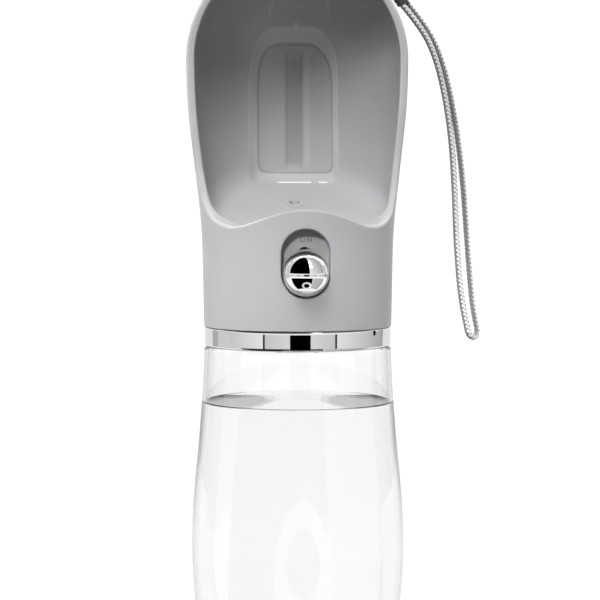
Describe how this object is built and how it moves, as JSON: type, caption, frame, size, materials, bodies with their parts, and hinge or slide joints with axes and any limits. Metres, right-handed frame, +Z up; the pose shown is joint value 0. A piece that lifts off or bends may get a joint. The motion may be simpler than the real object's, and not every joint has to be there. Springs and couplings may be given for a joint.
{
  "type": "dog travel water bottle",
  "caption": "Clear water bottle with a screw-on scoop-shaped drinking head, a chrome lock-and-press button and a braided wrist loop.",
  "frame": {"origin": "middle of the flat face that the bottle stands on", "axes": "+Z up along the bottle, -Y towards the front with the button, +X to the right"},
  "size_m": [0.1007, 0.0765, 0.269],
  "materials": {
    "clear_plastic": "clear moulded copolyester, glossy",
    "white_silicone": "translucent white silicone, satin",
    "dark_silicone": "black silicone, satin",
    "grey_plastic": "light grey moulded plastic, satin outside",
    "chrome_plate": "bright plated, mirror polish",
    "inner_plastic": "natural white moulded plastic",
    "spring_steel": "drawn wire",
    "nozzle_plastic": "grey moulded plastic",
    "screw_steel": "zinc plated",
    "dark_cord": "thin dark braided cord",
    "dark_plastic": "dark grey moulded plastic",
    "braided_cord": "silver-grey herringbone braid"
  },
  "bodies": {
    "bottle": {"bottle": "clear_plastic"},
    "gasket_carrier": {"neck_gasket": "dark_silicone"},
    "head": {"scoop_housing": "grey_plastic", "chrome_ring": "chrome_plate", "thread_collar": "inner_plastic", "valve_cage": "inner_plastic", "valve_spring": "spring_steel", "valve_chamber": "inner_plastic", "stem_seal": "white_silicone", "outlet_tube": "white_silicone", "outlet_nozzle": "nozzle_plastic", "slider_guide": "inner_plastic", "guide_screws": "screw_steel", "lanyard_leader": "dark_cord", "lanyard_bead": "dark_plastic", "lanyard_loop": "braided_cord"},
    "lock_slider": {"lock_slider": "inner_plastic", "slider_washer": "inner_plastic", "button_spring": "spring_steel"},
    "button": {"button_cap": "chrome_plate", "button_stem": "inner_plastic", "stem_clip": "spring_steel"},
    "valve": {"valve_plunger": "inner_plastic", "valve_washer": "white_silicone"}
  },
  "joints": [
    {"name": "head_lift", "type": "slide", "parent": "bottle", "child": "gasket_carrier", "axis": [0, 0, 1], "range_m": [0, 0.01482]},
    {"name": "head_unscrew", "type": "hinge", "parent": "gasket_carrier", "child": "head", "pos_m": [0, 0, 0.1389], "axis": [0, 0, 1], "range_deg": [0, 1170]},
    {"name": "lock_slide", "type": "slide", "parent": "head", "child": "lock_slider", "axis": [0, 0, 1], "range_m": [0, 0.0065]},
    {"name": "button_press", "type": "slide", "parent": "lock_slider", "child": "button", "axis": [0, 1, 0], "range_m": [0, 0.0026], "stiffness_N_per_m": 400, "springref_m": -0.002, "deforming": ["button_spring"]},
    {"name": "valve_open", "type": "slide", "parent": "head", "child": "valve", "axis": [0, 0, -1], "range_m": [0, 0.0027], "stiffness_N_per_m": 300, "springref_m": -0.002, "deforming": ["valve_spring"]}
  ],
  "couplings": [
    {"joint": "head_lift", "follows": "head_unscrew", "m_per_rad": 0.0007162},
    {"joint": "valve_open", "follows": "button_press", "ratio": 1}
  ]
}
